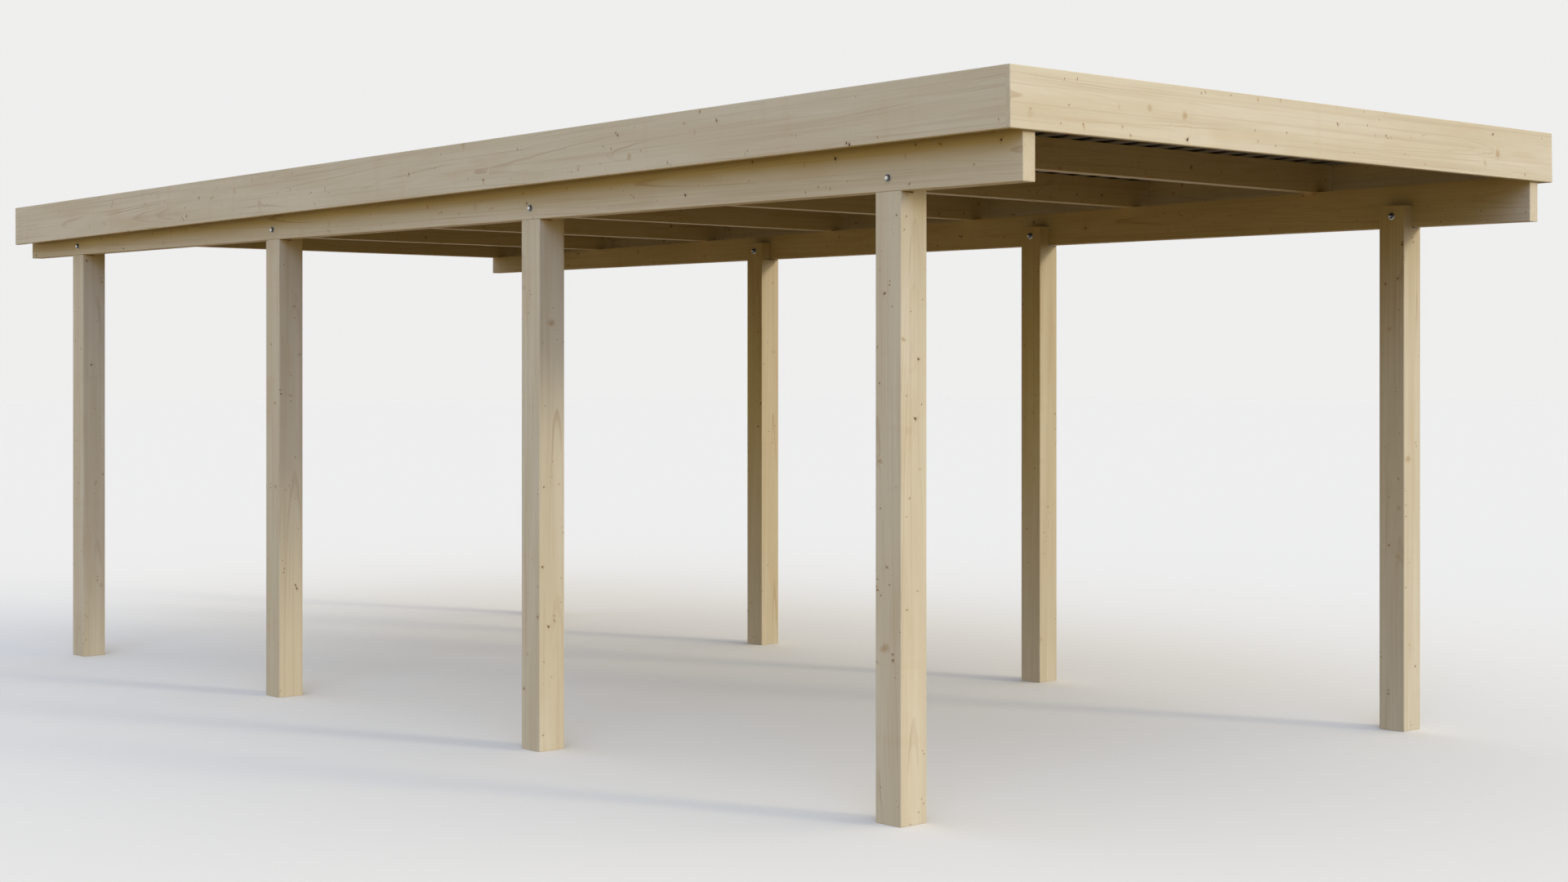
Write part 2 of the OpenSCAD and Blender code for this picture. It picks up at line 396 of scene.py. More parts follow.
# Marks of one flat side, as rows of along, across, radius, depth of colour, turn and stretch,
# drawn evenly over the side: radius = small + (large - small) * draw^4, so that most are small,
# and some have a lesser twin. Of two that lie too close along the side, the first stays.
def scatterMarks(rng, look, length, low, high):
    count = max(markLook["least"], rng.poisson(look["perArea"] * length * (high - low)))
    small, large = look["small"], look["large"]
    rows = np.stack([rng.uniform(0, length, count), rng.uniform(low, high, count),
                     small + (large - small) * rng.random(count) ** markLook["mostlySmall"],
                     rng.random(count), rng.uniform(*look["turn"], count),
                     rng.uniform(*look["stretch"], count)], 1)
    rows[:, 5] = 1 + (rows[:, 5] - 1) * small / rows[:, 2]   # large ones are rounder
    twins = rows[rng.random(count) < look["twins"]]
    twins = twins * (1, 1, markLook["twinSize"], 1, 1, 1)
    twins[:, 0] += rng.uniform(*markLook["twinAlong"], len(twins))
    twins[:, 1] += rng.uniform(-markLook["twinAcross"], markLook["twinAcross"], len(twins))
    rows = np.vstack([rows, twins[twins[:, 0] < length]])
    rows = rows[np.argsort(rows[:, 0])]
    return rows[np.append(True, np.diff(rows[:, 0]) > look["apart"])]


# Listed knots, as rows of along, across, radius and depth, take the scattered ones' place
# over their own stretch. Their stretch is 1 + (draw - 1) * small / radius.
def placeKnots(rng, look, scattered, placed):
    placed = np.array(sorted(placed))
    turn = rng.uniform(*look["turn"], len(placed))
    stretch = 1 + (rng.uniform(*look["stretch"], len(placed)) - 1) * look["small"] / placed[:, 2]
    gap = markLook["placedGap"]
    outside = (scattered[:, 0] < placed[0, 0] - gap) | (scattered[:, 0] > placed[-1, 0] + gap)
    rows = np.vstack([scattered[outside], np.column_stack([placed, turn, stretch])])
    return rows[np.argsort(rows[:, 0])]


timberLook = {
    "arcSteps": 4, "endSteps": 3, "leastArris": 0.00005, "cutMargin": 0.002, "weld": 0.00002,
    "farMark": 50.0, "grainStart": 9, "pithSpread": 0.02,
}


# A timber is a rectangle with rounded arrises carried along a line:
# point = start + s * along + a * side + b * up, with a and b on the section's outline, which is
# drawn in by e * (1 - sin f) at distance e * (1 - cos f) from an end. The outline's height runs
# evenly from one end to the other, and past the shoulder its outer side steps in by the notch.
# Between two marks the length is cut, so that each stretch of a side leads to its own mark.
def timber(name, node, start, along, side, length, width, heights, arrises, ends, seed,
           endSides=(1, 1, 1, 1), shoulder=None, notch=0.0, undercut=0.0, knots=None, pith=(0.0, 0.0)):
    look = timberLook
    rng = np.random.default_rng(seed)
    up = np.cross(along, side)
    span = max(heights)
    steps = look["arcSteps"]
    corner = np.repeat(np.arange(4), steps + 1)
    turn = np.radians(90.0 * corner - 90 + np.tile(np.linspace(0, 90, steps + 1), 4))
    inner = np.zeros(len(corner), bool)                      # marks the two points where the notch ends
    if shoulder:
        gaps = (2 * steps + 2, len(corner))
        corner = np.insert(corner, gaps, (1, 0))
        turn = np.insert(turn, gaps, (math.pi / 2, 1.5 * math.pi))
        inner = np.insert(inner, gaps, True)
    outward, top = np.array([1, 1, 0, 0])[corner], np.array([0, 1, 1, 0])[corner]

    # knots and blotches of the four sides, and the cuts half way between neighbours
    sides = []
    for k in range(4):
        low, high = (0.0, span) if k % 2 == 0 else (-width / 2, width / 2)
        spots = scatterMarks(rng, knotLook, length, low, high)
        if knots and k in knots:
            spots = placeKnots(rng, knotLook, spots, knots[k])
        sides.append((spots, scatterMarks(rng, blotchLook, length, low, high)))
    cuts = np.concatenate([(rows[1:, 0] + rows[:-1, 0]) / 2 for pair in sides for rows in pair])
    margin = look["cutMargin"]
    cuts = cuts[(cuts > ends[0] + margin) & (cuts < length - ends[1] - margin)]
    cuts = np.unique(np.round(cuts, 4))

    # where the rings lie along the timber, and how far each is drawn in
    bow = np.radians(np.linspace(0, 90, look["endSteps"] + 1))
    s = np.concatenate([ends[0] * (1 - np.cos(bow)), cuts, length - ends[1] * (1 - np.cos(bow[::-1]))])
    drawn = np.concatenate([ends[0] * (1 - np.sin(bow)), 0 * cuts, ends[1] * (1 - np.sin(bow[::-1]))])
    past = np.zeros(len(s))
    if shoulder:
        at = np.searchsorted(s, shoulder)
        s, drawn = np.insert(s, at, [shoulder, shoulder]), np.insert(drawn, at, [0.0, 0.0])
        past = (np.arange(len(s)) > at).astype(float)
    rings, points = len(s), len(turn)

    height = (heights[0] + (heights[1] - heights[0]) * s / length)[:, None]
    pull = drawn[:, None, None] * np.array(endSides)[None, None, :]
    radius = np.maximum(np.array(arrises)[corner][None, :] - drawn[:, None], look["leastArris"])
    lowA, highA = -width / 2 + pull[..., 2], width / 2 - pull[..., 0]
    a = np.where(outward, highA - radius, lowA + radius) + radius * np.cos(turn)
    b = np.where(top, height - pull[..., 1] - radius, pull[..., 3] + radius) + radius * np.sin(turn)
    stepped = a - notch * past[:, None] * outward[None, :]
    a = np.where(inner[None, :], width / 2 - notch - np.array(arrises)[0], stepped)
    reach = np.repeat(s[:, None], points, 1)                 # how far along each point lies
    if shoulder:
        reach[at, inner] -= undercut                         # the shoulder falls inwards by the undercut
        reach[at + 1, outward == 1] -= undercut
    where = np.array(start) + reach[..., None] * along + a[..., None] * side + b[..., None] * up

    # quads between rings, then the two end faces
    quads, ringOf, pointOf = ringQuads(rings, points)
    firstEnd, lastEnd = np.arange(points)[::-1], np.arange(points) + (rings - 1) * points
    mesh = bpy.data.meshes.new(name)
    mesh.from_pydata(where.reshape(-1, 3).tolist(), [],
                     quads.tolist() + [firstEnd.tolist(), lastEnd.tolist()])

    # which side a quad belongs to, and each of its corners in its mark's own measure
    turnNext = np.append(turn[1:], turn[0] + 2 * math.pi)
    sideOf = np.round((turn + turnNext) / math.pi).astype(int) % 4
    middle = (s[1:] + s[:-1]) / 2
    flatA, flatB, flatS = a.ravel(), b.ravel(), reach.ravel()
    quadSide, quadMiddle = sideOf[pointOf], middle[ringOf]
    ways, depth = [np.zeros((len(quads), 4, 3)) for _ in range(2)], np.zeros(len(quads))
    for k, pair in enumerate(sides):
        mine = np.flatnonzero(quadSide == k)
        across = (flatB if k % 2 == 0 else flatA)[quads[mine]]
        for way, rows, kept in zip(ways, pair, (2, 3)):      # a knot keeps its radius, a blotch its depth
            mark = rows[np.searchsorted((rows[1:, 0] + rows[:-1, 0]) / 2, quadMiddle[mine])][:, :, None]
            ds, dt = flatS[quads[mine]] - mark[:, 0], across - mark[:, 1]
            cosine, sine = np.cos(mark[:, 4]), np.sin(mark[:, 4])
            way[mine] = np.stack([(ds * cosine + dt * sine) / (mark[:, 2] * mark[:, 5]),
                                  (dt * cosine - ds * sine) / mark[:, 2], mark[:, kept] + 0 * ds], -1)
            if kept == 2:
                depth[mine] = mark[:, 3, 0]
    noMark = np.tile([look["farMark"], look["farMark"], 0.0], (2 * points, 1))   # for the end faces

    tone, spread = rng.uniform(-1, 1), look["pithSpread"]
    grain = np.stack([flatS + rng.uniform(0, look["grainStart"]),
                      flatA - pith[0] + rng.uniform(-spread, spread),
                      flatB - span / 2 - pith[1] + rng.uniform(-spread, spread)], -1)
    write(mesh, "grain", "POINT", grain)
    write(mesh, "knot", "CORNER", np.concatenate([ways[0].reshape(-1, 3), noMark]))
    write(mesh, "blotch", "CORNER", np.concatenate([ways[1].reshape(-1, 3), noMark]))
    shade = np.stack([0 * depth, depth, 0 * depth + tone], -1)
    write(mesh, "shade", "FACE", np.concatenate([shade, [[1, 0, tone], [1, 0, tone]]]))
    smooth = np.concatenate([~np.isclose(turn, turnNext)[pointOf], [False, False]])
    mesh.polygons.foreach_set("use_smooth", smooth)
    if shoulder:
        work = bmesh.new()
        work.from_mesh(mesh)
        bmesh.ops.remove_doubles(work, verts=work.verts, dist=look["weld"])
        work.to_mesh(mesh)
        work.free()
    mesh.update()
    return finishPiece(name, mesh, spruce, node)


postLook = {
    "arris": 0.004, "foot": 0.0015, "head": 0.002, "shoulder": 2.072, "notch": 0.057, "undercut": 0.006,
    "pith": (0.015, -0.045), "seed": 100, "rowSeed": 10,
}
# knots that catch the eye on the nearest post: along, across, radius, depth of colour
nearPostKnots = {
    1: [(1.01, 0.035, 0.0018, 0.3), (1.07, 0.02, 0.0025, 0.4), (1.33, -0.005, 0.0045, 0.9),
        (1.375, -0.035, 0.0018, 0.4), (1.405, 0.035, 0.0018, 0.4), (1.525, -0.02, 0.0045, 0.8),
        (1.68, 0.015, 0.0018, 0.4), (1.72, -0.04, 0.0018, 0.4), (1.945, 0.045, 0.002, 0.5),
        (1.99, 0.035, 0.0025, 0.5)],
    0: [(1.035, 0.025, 0.0018, 0.4), (1.445, 0.02, 0.0022, 0.6), (1.565, 0.01, 0.0018, 0.3)],
}


# Posts stand in their boxes, with the notched side outwards: start = foot's middle - up * width / 2
def makePosts():
    look = postLook
    for row, outward in postRows:
        for i in range(1, postCount + 1):
            node = f"post_{row}_{i}"
            low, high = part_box(node)
            side, width = toRight * outward, high.y - low.y
            middle = boxMiddle(node)
            middle[2] = low.z
            start = middle - np.cross(straightUp, side) * width / 2
            timber(f"spruce_{node}", node, start, straightUp, side, high.z - low.z,
                   high.x - low.x, (width, width), (look["arris"],) * 4, (look["foot"], look["head"]),
                   look["seed"] + i + look["rowSeed"] * (outward > 0),
                   shoulder=look["shoulder"] - low.z, notch=look["notch"], undercut=look["undercut"],
                   knots=nearPostKnots if node == "post_left_1" else None,
                   pith=(look["pith"][0] * outward, look["pith"][1]))


beamLook = {"arris": 0.0035, "topArris": 0.001, "end": 0.0025, "pith": 0.07, "seed": 200}
leftBeamKnots = {
    0: [(0.09, 0.135, 0.0042, 1.0), (0.21, 0.065, 0.002, 0.4), (0.36, 0.14, 0.0035, 0.2),
        (0.47, 0.145, 0.0035, 0.2), (0.50, 0.02, 0.003, 0.2), (0.795, 0.045, 0.0018, 0.6),
        (0.855, 0.125, 0.0052, 1.0), (0.88, 0.025, 0.0025, 0.6), (0.94, 0.035, 0.0022, 0.6),
        (1.005, 0.02, 0.0018, 0.5)],
}


# Beams are level below, and above they lose length * tan(fall) of their height to the rear
def makeBeams():
    look = beamLook
    lower, upper, end = look["arris"], look["topArris"], look["end"]
    for row, outward in postRows:
        node = f"beam_{row}"
        low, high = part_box(node)
        length, front = high.y - low.y, high.z - low.z
        timber(f"spruce_{node}", node, ((low.x + high.x) / 2, low.y, low.z), toRear, -toRight,
               length, high.x - low.x, (front, front - length * math.tan(fall)),
               (lower, upper, upper, lower), (end, end), look["seed"] + (outward > 0),
               knots=leftBeamKnots if outward < 0 else None, pith=(-look["pith"] * outward, 0.0))


rafterLook = {"arris": 0.0012, "topArris": 0.0008, "end": 0.0005, "pith": (0.05, 0.02), "seed": 300}


# Rafters lean with the roof, so a box is t cos f + h sin f long and t sin f + h cos f tall, with
# t the thickness, h the height and f the fall
def makeRafters():
    look = rafterLook
    lower, upper, end = look["arris"], look["topArris"], look["end"]
    cosine, sine, slope = math.cos(fall), math.sin(fall), math.tan(fall)
    for i in range(1, rafterCount + 1):
        node = f"rafter_{i}"
        low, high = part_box(node)
        thick = ((high.y - low.y) - (high.z - low.z) * slope) / (cosine - sine * slope)
        tall = ((high.z - low.z) - thick * sine) / cosine
        start = np.array((low.x, low.y, low.z + thick * sine)) + downRoof * thick / 2
        timber(f"spruce_{node}", node, start, toRight, downRoof, high.x - low.x, thick,
               (tall, tall), (lower, upper, upper, lower), (end, end), look["seed"] + i, pith=look["pith"])


fasciaLook = {
    "arris": 0.0032, "backArris": 0.0004, "thick": 0.019, "end": 0.003, "jointEnd": 0.0003,
    "frontEndSides": (0.1, 1, 1, 1), "frontPith": (0.075, 0.01), "sidePith": (0.08, -0.02),
    "frontSeed": 401, "leftSeed": 403, "rightSeed": 402,
}
frontKnots = {
    2: [(0.09, 0.065, 0.0018, 0.6), (0.23, 0.03, 0.0018, 0.3), (0.25, 0.17, 0.002, 0.5),
        (0.27, 0.09, 0.0018, 0.4), (0.31, 0.175, 0.002, 0.5), (0.335, 0.035, 0.0018, 0.3),
        (0.525, 0.04, 0.0025, 0.1), (0.565, 0.015, 0.003, 0.1), (0.855, 0.02, 0.005, 1.0),
        (0.93, 0.18, 0.0018, 0.5), (0.95, 0.185, 0.0018, 0.5), (1.09, 0.185, 0.0018, 0.4),
        (1.22, 0.075, 0.002, 0.5), (1.235, 0.04, 0.0018, 0.3), (1.335, 0.03, 0.002, 0.5),
        (1.40, 0.08, 0.0022, 0.5)],
}
leftBoardKnots = {0: [(0.03, 0.03, 0.0018, 0.4), (0.57, 0.02, 0.002, 0.6)]}


# The boards lean with the roof too: h = (box height - t sin f) / cos f for the front one, and
# length = (box length - h sin f) / cos f for those at the sides. Their outer arrises are round.
def makeFascias():
    look = fasciaLook
    thick, arris, back, end = look["thick"], look["arris"], look["backArris"], look["end"]
    cosine, sine = math.cos(fall), math.sin(fall)
    low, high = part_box("fascia_front")
    tall = ((high.z - low.z) - thick * sine) / cosine
    start = np.array((low.x, low.y, low.z + thick * sine)) + downRoof * thick / 2
    timber("spruce_fascia_front", "fascia_front", start, toRight, downRoof,
           high.x - low.x, thick, (tall, tall), (back, back, arris, arris), (end, end),
           look["frontSeed"], endSides=look["frontEndSides"], knots=frontKnots, pith=look["frontPith"])
    for row, outward in postRows:
        node = f"fascia_{row}"
        low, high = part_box(node)
        length = ((high.y - low.y) - tall * sine) / cosine
        start = np.array(((low.x + high.x) / 2, low.y, low.z + length * sine))
        arrises = (arris, arris, back, back) if outward < 0 else (back, back, arris, arris)
        timber(f"spruce_{node}", node, start, downRoof, -toRight, length,
               high.x - low.x, (tall, tall), arrises, (look["jointEnd"], end), look[f"{row}Seed"],
               knots=leftBoardKnots if outward < 0 else None,
               pith=(look["sidePith"][0] * outward, look["sidePith"][1]))


makePosts()
print("posts made")
makeBeams()
makeRafters()
makeFascias()
print("beams, rafters and fascia boards made")

ribLook = {
    "pitch": 0.1375, "first": 0.082, "count": 22, "cover": 8,
    "height": 0.020, "foot": 0.074, "top": 0.036, "metal": 0.0006,
    "lapOff": 0.0009, "lapLip": 0.002, "bend": 0.0026, "bendSteps": 3, "rings": 15,
    "level": 0.145, "frontGap": 0.023, "edgeReach": 0.0039,
}


# Four points of a rib at x: foot, top, top, foot. Grown by g square to its line, it is
# height + g tall, its half foot gains g * flank / height and its half top
# g * (flank - run) / height, with run the flank's width. A lip ends the foot that high up.
def ribLine(x, grow, leftLip, rightLip):
    look = ribLook
    run = (look["foot"] - look["top"]) / 2
    flank = math.hypot(run, look["height"])
    halfFoot = look["foot"] / 2 + grow * flank / look["height"]
    halfTop = look["top"] / 2 + grow * (flank - run) / look["height"]
    tall = look["height"] + grow
    reach = [halfFoot - (halfFoot - halfTop) * lip / tall for lip in (leftLip, rightLip)]
    return [(x - reach[0], leftLip), (x - halfTop, tall), (x + halfTop, tall), (x + reach[1], rightLip)]


# A roof sheet is its ribbed line carried down the slope: the middle of the metal is the line
# with every bend rounded to an arc, and the two skins lie half the metal's thickness off it.
# From the second sheet on, the first rib is grown and laps over the last rib before it.
def roofSheet(number, firstX, sheetWidth, lowerFront, length):
    look = ribLook
    ribs = firstX + look["first"] + np.arange(look["count"]) * look["pitch"]
    firstRib = look["cover"] * (number - 1)
    lastRib = look["cover"] * number if number < sheetCount else look["count"] - 1
    line = [] if number > 1 else [(firstX - look["edgeReach"], 0.0)]
    for i in range(firstRib, lastRib + 1):
        lapsOver, lapped = number > 1 and i == firstRib, number < sheetCount and i == lastRib
        line += ribLine(ribs[i], look["lapOff"] if lapsOver else 0.0,
                        look["lapLip"] if lapsOver else 0.0, look["lapLip"] if lapped else 0.0)
    if number == sheetCount:
        line.append((firstX + sheetWidth + look["edgeReach"], 0.0))
    line = np.array(line)
    ahead = np.diff(line, axis=0)
    ahead /= np.linalg.norm(ahead, axis=1)[:, None]
    left = np.stack([-ahead[:, 1], ahead[:, 0]], 1)

    # mitred middle line, then arcs: tangent length = radius * tan(half the turn)
    before, after = np.vstack([left[:1], left]), np.vstack([left, left[-1:]])
    half = look["metal"] / 2
    middle = line + half * (before + after) / (1 + (before * after).sum(1))[:, None]
    heading = np.arctan2(ahead[:, 1], ahead[:, 0])
    bend = np.diff(heading)
    back = look["bend"] * np.tan(np.abs(bend) / 2)
    angle = heading[:-1, None] + bend[:, None] * np.linspace(0, 1, look["bendSteps"] + 1)
    sign = np.sign(bend)[:, None]
    centre = middle[1:-1] - back[:, None] * ahead[:-1] + look["bend"] * sign * left[:-1]
    spoke = np.stack([np.sin(angle), -np.cos(angle)], -1)
    arc = centre[:, None, :] + look["bend"] * sign[..., None] * spoke
    path = np.vstack([middle[:1], arc.reshape(-1, 2), middle[-1:]])
    facing = np.concatenate([heading[:1], angle.ravel(), heading[-1:]])
    normal = np.stack([-np.sin(facing), np.cos(facing)], 1)
    loop = np.vstack([path + half * normal, (path - half * normal)[::-1]])
    s = np.linspace(0, length, look["rings"])
    where = (np.array(lowerFront) + s[:, None, None] * downRoof
             + loop[None, :, :1] * toRight + loop[None, :, 1:] * offRoof)

    # quads along the sheet, then strips that close the front and rear edges
    rings, points = len(s), len(loop)
    quads, _, pointOf = ringQuads(rings, points)
    j = np.arange(points // 2 - 1)
    closing = np.stack([j, points - 1 - j, points - 2 - j, j + 1], 1)
    quads = np.vstack([quads, closing, (closing + (rings - 1) * points)[:, ::-1]])
    mesh = bpy.data.meshes.new(f"ribbed_sheet_{number}")
    mesh.from_pydata(where.reshape(-1, 3).tolist(), [], quads.tolist())

    # only the bends are smooth
    bends = np.zeros(points, bool)
    bent = np.arange(1, len(path) - 1)
    bent = bent[(bent - 1) % (look["bendSteps"] + 1) != look["bendSteps"]]
    bends[bent] = True
    bends[points - 2 - bent] = True
    smooth = np.concatenate([bends[pointOf], np.zeros(2 * len(closing), bool)])
    mesh.polygons.foreach_set("use_smooth", smooth)
    skin = np.concatenate([0 * path[:, 1] - 1, path[::-1, 1] / look["height"]])
    write(mesh, "skin", "POINT", np.tile(skin, rings))
    mesh.update()
    return finishPiece(f"ribbed_sheet_{number}", mesh, roofMetal, f"roof_sheet_{number}")


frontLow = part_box("fascia_front")[0]
roofFront = np.array((0.0, frontLow.y, frontLow.z + fasciaLook["thick"] * math.sin(fall)))
sheetLeft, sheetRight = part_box("roof_sheet_1")[0].x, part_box(f"roof_sheet_{sheetCount}")[1].x


# Each sheet starts behind the front board, and its length is (box length - rib sin f) / cos f
def makeSheets():
    look = ribLook
    lowerFront = roofFront + look["frontGap"] * downRoof + look["level"] * offRoof
    for number in range(1, sheetCount + 1):
        low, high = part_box(f"roof_sheet_{number}")
        length = ((high.y - low.y) - (look["height"] + look["metal"]) * math.sin(fall)) / math.cos(fall)
        roofSheet(number, sheetLeft, sheetRight - sheetLeft, lowerFront, length)


makeSheets()
print("roof sheets made")

sharpTurn = 35                                               # degrees past which an edge of a fixing shows

# Turned fixings: a profile of height and radius swept round an axis,
# point = foot + height * axis + radius * (cos turn, sin turn), many copies in one mesh
def turned(name, material, profile, paintedLight, feet, axes, around, hexFlats=None):
    profile = np.array(profile)
    turn = np.arange(around) / around * 2 * math.pi
    radius = np.repeat(profile[:, 1:2], around, 1)
    if hexFlats:
        # a hexagon's edge lies at flats / 2 / cos(turn from the nearest flat's middle)
        edge = hexFlats / 2 / np.cos((turn + math.pi / 6) % (math.pi / 3) - math.pi / 6)
        radius = np.minimum(radius, edge[None, :])
    feet, axes = np.array(feet, float), np.array(axes, float)
    helper = np.where(np.abs(axes[:, 2:3]) > 0.9, [[0.0, 1.0, 0.0]], [[0.0, 0.0, 1.0]])
    firstWay = np.cross(helper, axes)
    firstWay /= np.linalg.norm(firstWay, axis=1)[:, None]
    secondWay = np.cross(axes, firstWay)
    where = (feet[:, None, None, :] + profile[None, :, :1, None] * axes[:, None, None, :]
             + (radius * np.cos(turn))[None, ..., None] * firstWay[:, None, None, :]
             + (radius * np.sin(turn))[None, ..., None] * secondWay[:, None, None, :])
    levels = len(profile)
    quads = ringQuads(levels, around)[0]
    underside = np.arange(around)[::-1]
    lid = np.arange(around) + (levels - 1) * around
    faces = []
    for copy in range(len(feet)):
        base = copy * levels * around
        faces += (quads + base).tolist() + [(lid + base).tolist(), (underside + base).tolist()]
    mesh = bpy.data.meshes.new(name)
    mesh.from_pydata(where.reshape(-1, 3).tolist(), [], faces)
    mesh.polygons.foreach_set("use_smooth", np.ones(len(faces), bool))
    mesh.set_sharp_from_angle(angle=math.radians(sharpTurn))
    # each level's painted light, from painted shade at 0 to a painted highlight at 1
    write(mesh, "paintedLight", "POINT", np.tile(np.repeat(paintedLight, around), len(feet)))
    mesh.update()
    return finishPiece(name, mesh, material)


boltLook = {
    "height": 2.117,
    "washer": 0.015, "washerThick": 0.0025, "washerHole": 0.006, "washerSunk": (0.001, 0.0002),
    "washerEdge": ((0.0005, 0.0), (0.0001, 0.0004), (0.0, 0.0009)),     # below the face, in from the rim
    # painted light for each level of a profile: 0 painted shade, 1 a painted highlight
    "washerPaintedLight": (0.05, 0.1, 0.45, 0.6, 0.45, 0.02),
    "head": 0.0115, "headTall": 0.009, "headRim": 0.0022, "headEdge": (0.0004, 0.0006),
    "headPaintedLight": (0.0, 0.03),
    "nutFlats": 0.019, "nutTall": 0.0085, "nutEdge": 0.0007, "nutChamfer": 0.0012, "nutShelf": 0.0004,
    "nutPaintedLight": (0.0, 0.1, 0.2, 0.1, 0.05), "capTall": 0.008,
    "domeTurn": 86, "domeSteps": 9, "around": 32, "nutAround": 36,
}


# Bolts through posts and beams: outside a mushroom head on a washer, a short rim and then a
# quarter ellipse, and inside a cap nut on a washer. The crowns carry a painted highlight of sin(bow)^3, and
# the feet and rims painted shade.
def makeBolts():
    look = boltLook
    outside, inside, outAxes = [], [], []
    for row, outward in postRows:
        for i in range(1, postCount + 1):
            node = f"post_{row}_{i}"
            low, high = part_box(node)
            y = boxMiddle(node)[1]
            outside.append((low.x if outward < 0 else high.x, y, look["height"]))
            inside.append((high.x if outward < 0 else low.x, y, look["height"]))
            outAxes.append((outward, 0.0, 0.0))
    outside, inside, outAxes = np.array(outside), np.array(inside), np.array(outAxes)

    thick, reach, sunk = look["washerThick"], look["washer"], look["washerSunk"]
    ring = [(-sunk[0], reach - sunk[1]), (0.0, reach)]
    ring += [(thick - below, reach - inwards) for below, inwards in look["washerEdge"]]
    ring.append((thick, look["washerHole"]))
    turned("bolt_washers", zinc, ring, look["washerPaintedLight"], np.vstack([outside, inside]),
           np.vstack([outAxes, -outAxes]), look["around"])

    bow = np.radians(np.linspace(0, look["domeTurn"], look["domeSteps"]))
    crownHighlight = np.sin(bow) ** 3
    radius, rim, edge = look["head"], look["headRim"], look["headEdge"]
    head = [(0.0, radius - edge[1]), (edge[0], radius)]
    head += zip(rim + (look["headTall"] - rim) * np.sin(bow), radius * np.cos(bow))
    turned("bolt_heads", zinc, head, np.concatenate([look["headPaintedLight"], crownHighlight]),
           outside + outAxes * thick, outAxes, look["around"])

    flats, tall, chamfer = look["nutFlats"], look["nutTall"], look["nutChamfer"]
    corner, dome = flats / math.sqrt(3), flats / 2 - chamfer
    nut = [(0.0, corner - chamfer), (look["nutEdge"], corner), (tall - chamfer, corner),
           (tall, flats / 2 - look["nutShelf"]), (tall, dome)]
    nut += zip(tall + look["capTall"] * np.sin(bow[1:]), dome * np.cos(bow[1:]))
    turned("bolt_cap_nuts", zinc, nut, np.concatenate([look["nutPaintedLight"], crownHighlight[1:] / 2]),
           inside - outAxes * thick, -outAxes, look["nutAround"], hexFlats=flats)


# Profiles are rows of height and radius
screwLook = {
    "ribs": (1, 4, 7, 9, 12, 15, 17, 20, 22), "lapRibs": (9, 17),
    "seal": ((-0.0002, 0.008), (0.0016, 0.008), (0.0022, 0.007)), "sealPaintedLight": (0, 0, 0), "sealAround": 10,
    "screw": ((0.0018, 0.0065), (0.0028, 0.0065), (0.0034, 0.0047), (0.0075, 0.0047), (0.0082, 0.0036)),
    # painted light on the screw heads, brightest on top
    "screwPaintedLight": (0.3, 0.5, 0.3, 0.5, 0.6), "screwAround": 12, "flats": 0.008,
}


# Screws stand on the ribs over each rafter's middle:
# foot = roof's front + x * right + down * slope + lift * square to the roof
def makeScrews():
    look = screwLook
    feet = []
    for i in range(1, rafterCount + 1):
        down = np.dot(boxMiddle(f"rafter_{i}") - roofFront, downRoof)
        for rib in look["ribs"]:
            x = sheetLeft + ribLook["first"] + (rib - 1) * ribLook["pitch"]
            lift = ribLook["level"] + ribLook["height"] + ribLook["metal"]
            lift += ribLook["lapOff"] if rib in look["lapRibs"] else 0.0
            feet.append(roofFront + x * toRight + down * downRoof + lift * offRoof)
    axes = np.tile(offRoof, (len(feet), 1))
    turned("screw_seals", rubber, look["seal"], look["sealPaintedLight"], feet, axes, look["sealAround"])
    turned("roof_screws", zinc, look["screw"], look["screwPaintedLight"], feet, axes, look["screwAround"],
           hexFlats=look["flats"])


makeBolts()
makeScrews()
print("bolts and roof screws made")

stageLook = {
    "floor": (0.803, 0.758, 0.680), "floorRough": 0.9, "floorReach": (0.5, 90.0), "rings": 12, "spokes": 64,
    "floorGlow": (0.143, 0.080, 0.015), "leftFloorGlow": (0.232, 0.140, 0.022), "floorGlowTurn": (-2.0, 1.0),
    "backdrop": (0.86, 0.86, 0.855),
    "sky": (0.78, 0.92, 1.24), "skyHigh": (0.76, 0.82, 0.94), "highRise": (0.40, 0.75),
    "haze": (0.49, 0.38, 0.11), "hazeRise": (0.04, 0.28, 0.78, 0.0),
    "lowLeft": (1.00, 0.80, 0.23), "lowRise": (0.20, 0.42, 1.0, 0.0), "lowTurn": (-0.98, -0.55, 1.0, 0.0),
    "glow": (2.05, 1.85, 1.45), "glowFrom": (48, 12), "glowTurn": (0.60, 1.0),
    "corner": (1.9, 2.4, 3.5), "cornerFrom": (-45, 35), "cornerTurn": (0.88, 1.0),
    "sunPower": 1.10, "sunColor": (0.97, 0.88, 0.64), "sunFrom": (22.8, 17.2), "sunSoft": 9,
}


# 1 for what is looked at, mirrored or seen through, 0 for light that is thrown on other things
def seenDirectly(tree):
    path = put(tree, "ShaderNodeLightPath").outputs
    mirrored = calc(tree, "MAXIMUM", path["Is Glossy Ray"], path["Is Transmission Ray"])
    return calc(tree, "MAXIMUM", path["Is Camera Ray"], mirrored)
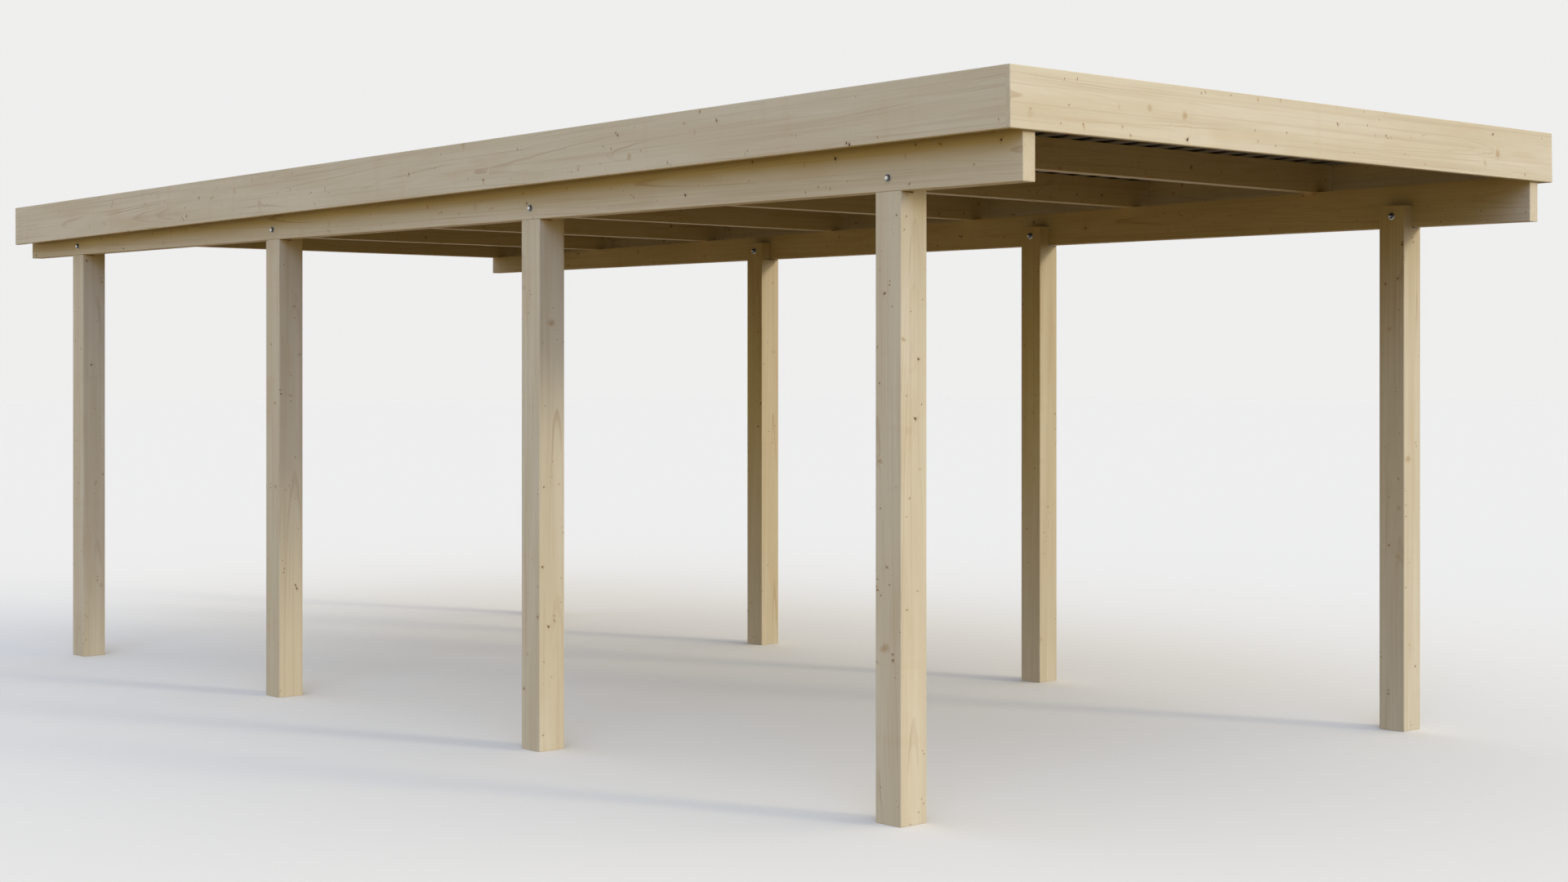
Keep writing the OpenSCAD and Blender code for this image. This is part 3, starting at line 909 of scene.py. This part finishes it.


# The floor is a flat disc of rings and spokes: point = radius * (cos turn, sin turn). Where it
# is not seen directly it is a warm glow that lights the timber from below, brighter on the left.
def makeFloor():
    look = stageLook
    rings, spokes = look["rings"], look["spokes"]
    radius, turn = np.meshgrid(np.linspace(*look["floorReach"], rings),
                               np.arange(spokes) / spokes * 2 * math.pi, indexing="ij")
    where = np.stack([radius * np.cos(turn), radius * np.sin(turn), 0 * turn], -1).reshape(-1, 3)
    quads = ringQuads(rings, spokes)[0][:, ::-1]
    mesh = bpy.data.meshes.new("studio_floor")
    mesh.from_pydata(where.tolist(), [], quads.tolist() + [list(range(spokes))])
    material, tree, shader = startMaterial("studio_floor")
    shader.inputs["Base Color"].default_value = (*look["floor"], 1.0)
    shader.inputs["Roughness"].default_value = look["floorRough"]
    shader.inputs["Specular IOR Level"].default_value = 0.0
    across = apart(tree, placeInPiece(tree))[0]
    thrown = blendColor(tree, between(tree, across, *look["floorGlowTurn"]), look["leftFloorGlow"], look["floorGlow"])
    # the floor's glow on the timber, which stands in for its bounce light
    floorGlow = put(tree, "ShaderNodeEmission", {"Color": thrown}).outputs[0]
    either = put(tree, "ShaderNodeMixShader", {0: seenDirectly(tree), 1: floorGlow, 2: shader.outputs[0]})
    tree.links.new(either.outputs[0], tree.nodes["Material Output"].inputs["Surface"])
    mesh.materials.append(material)
    floor = bpy.data.objects.new("studio_floor", mesh)
    scene.collection.objects.link(floor)


# Direction to a light that stands so many degrees to the right of the front and so many up:
# (sin across * cos rise, -cos across * cos rise, sin rise)
def lightWay(across, rise):
    across, rise = math.radians(across), math.radians(rise)
    return Vector((math.sin(across) * math.cos(rise), -math.cos(across) * math.cos(rise), math.sin(rise)))


# The sky is an even blue that pales overhead. Near the horizon it is a dim warm haze, warmer low
# on the left. A pale corner stands on the front left and a glow on the front right, each by the
# cosine of the angle from its middle.
def makeLight():
    look = stageLook
    world = bpy.data.worlds.new("studio")
    scene.world = world
    world.use_nodes = True
    tree = world.node_tree
    toSky = put(tree, "ShaderNodeTexCoord").outputs["Generated"]
    across, _, rise = apart(tree, toSky)

    def near(light, turn):
        return between(tree, vecCalc(tree, "DOT_PRODUCT", toSky, lightWay(*look[light])), *look[turn])

    sky = blendColor(tree, between(tree, rise, *look["highRise"]), look["sky"], look["skyHigh"])
    sky = blendColor(tree, near("cornerFrom", "cornerTurn"), sky, look["corner"])
    sky = blendColor(tree, between(tree, rise, *look["hazeRise"]), sky, look["haze"])
    low, left = between(tree, rise, *look["lowRise"]), between(tree, across, *look["lowTurn"])
    sky = blendColor(tree, calc(tree, "MULTIPLY", low, left), sky, look["lowLeft"])
    sky = blendColor(tree, near("glowFrom", "glowTurn"), sky, look["glow"])
    shown = blendColor(tree, seenDirectly(tree), sky, look["backdrop"])
    tree.links.new(shown, tree.nodes["Background"].inputs["Color"])
    lamp = bpy.data.lights.new("soft_key", "SUN")
    lamp.energy, lamp.color, lamp.angle = look["sunPower"], look["sunColor"], math.radians(look["sunSoft"])
    key = bpy.data.objects.new("soft_key", lamp)
    key.rotation_euler = lightWay(*look["sunFrom"]).to_track_quat("Z", "Y").to_euler()
    scene.collection.objects.link(key)


cameraLook = {
    "place": (-6.7572, -8.4827, 1.5095), "turn": -43.14,
    "sensor": 36.0, "lens": 53.292, "shift": (-0.04778, -0.04931), "far": 300,
}


# The camera stands level and is shifted, so that the posts stay upright in the picture
def makeCamera():
    look = cameraLook
    lens = bpy.data.cameras.new("photo_camera")
    lens.sensor_width, lens.lens, lens.clip_end = look["sensor"], look["lens"], look["far"]
    lens.shift_x, lens.shift_y = look["shift"]
    camera = bpy.data.objects.new("photo_camera", lens)
    camera.location = look["place"]
    camera.rotation_euler = (math.radians(90), 0, math.radians(look["turn"]))
    scene.collection.objects.link(camera)
    scene.camera = camera


makeFloor()
makeLight()
makeCamera()
scene.view_settings.view_transform = "Standard"
print("floor, light and camera set")
